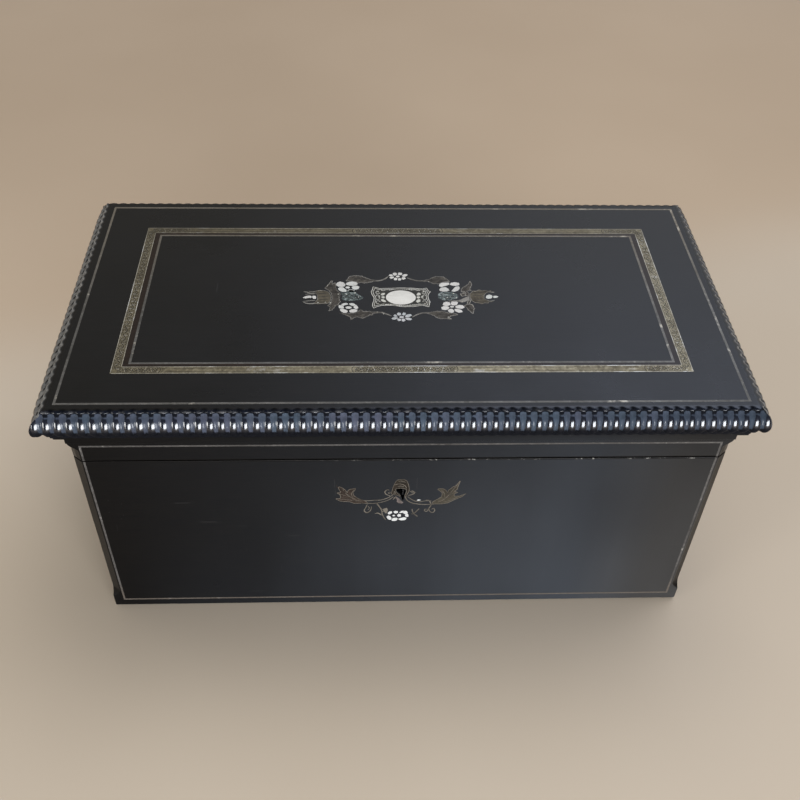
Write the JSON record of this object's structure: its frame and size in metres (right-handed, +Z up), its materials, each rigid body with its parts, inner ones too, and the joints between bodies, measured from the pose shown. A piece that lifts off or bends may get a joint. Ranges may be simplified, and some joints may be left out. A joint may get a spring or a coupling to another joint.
{
  "type": "antique casket",
  "caption": "Rectangular ebonised casket with a hinged inlaid lid, ripple moulding, brass stringing, pearl flowers and a box lock with a sliding bolt.",
  "frame": {"origin": "on the ground under the middle of the lid", "axes": "+X along the length, to the right seen from the front; the front faces -Y; +Z up"},
  "size_m": [0.4352, 0.2304, 0.204],
  "materials": {
    "ebonised_wood": "ebonised and polished, satin, faint brush and wear marks",
    "ripple_gloss": "ebonised and polished to a high gloss",
    "stringing_brass": "dull aged brass line with bright worn spots",
    "band_brass": "engraved aged brass",
    "foliage_brass": "engraved aged brass",
    "plaque_metal": "pale engraved metal",
    "pearl": "mother-of-pearl, polished",
    "green_shell": "dark green shell, polished",
    "silk": "deep red silk over wadding",
    "lock_steel": "aged bright steel",
    "pin_steel": "aged steel",
    "screw_brass": "aged brass",
    "hinge_brass": "aged brass"
  },
  "bodies": {
    "root": {"base_board": "ebonised_wood", "front_wall": "ebonised_wood", "back_wall": "ebonised_wood", "left_wall": "ebonised_wood", "right_wall": "ebonised_wood", "body_front_stringing": "stringing_brass", "keyhole_inlay": "foliage_brass", "keyhole_flowers": "pearl", "front_lining": "silk", "back_lining": "silk", "left_lining": "silk", "right_lining": "silk", "bottom_pad": "silk", "lock_case": "lock_steel", "lock_screw_left": "screw_brass", "lock_screw_right": "screw_brass", "hinge_left_lower_leaf": "hinge_brass", "hinge_right_lower_leaf": "hinge_brass", "hinge_pin_left": "pin_steel", "hinge_pin_right": "pin_steel", "hinge_screw_left_lower_1": "screw_brass", "hinge_screw_left_lower_2": "screw_brass", "hinge_screw_right_lower_1": "screw_brass", "hinge_screw_right_lower_2": "screw_brass"},
    "lock_bolt": {"lock_bolt": "lock_steel"},
    "lid": {"lid_top_panel": "ebonised_wood", "lid_front_rail": "ebonised_wood", "lid_back_rail": "ebonised_wood", "lid_left_rail": "ebonised_wood", "lid_right_rail": "ebonised_wood", "ripple_moulding_front": "ripple_gloss", "ripple_moulding_back": "ripple_gloss", "ripple_moulding_left": "ripple_gloss", "ripple_moulding_right": "ripple_gloss", "lid_outer_stringing": "stringing_brass", "lid_engraved_band": "band_brass", "lid_inner_stringing": "stringing_brass", "lid_front_stringing": "stringing_brass", "cartouche_plaque": "plaque_metal", "cartouche_oval": "pearl", "foliage_left": "foliage_brass", "foliage_right": "foliage_brass", "flower_left_back": "pearl", "flower_left_front": "pearl", "flower_right_back": "pearl", "flower_right_front": "pearl", "daisy_back": "pearl", "daisy_front": "pearl", "green_shell_left": "green_shell", "green_shell_right": "green_shell", "lid_pad": "silk", "strike_plate": "hinge_brass", "strike_screw_left": "screw_brass", "strike_screw_right": "screw_brass", "hinge_left_upper_leaf": "hinge_brass", "hinge_right_upper_leaf": "hinge_brass", "hinge_screw_left_upper_1": "screw_brass", "hinge_screw_left_upper_2": "screw_brass", "hinge_screw_right_upper_1": "screw_brass", "hinge_screw_right_upper_2": "screw_brass"}
  },
  "joints": [
    {"name": "lid_hinge", "type": "hinge", "parent": "root", "child": "lid", "pos_m": [0, 0.1032, 0.1543], "axis": [-1, 0, 0], "range_deg": [0, 95]},
    {"name": "bolt_slide", "type": "slide", "parent": "root", "child": "lock_bolt", "axis": [1, 0, 0], "range_m": [0, 0.005]}
  ]
}
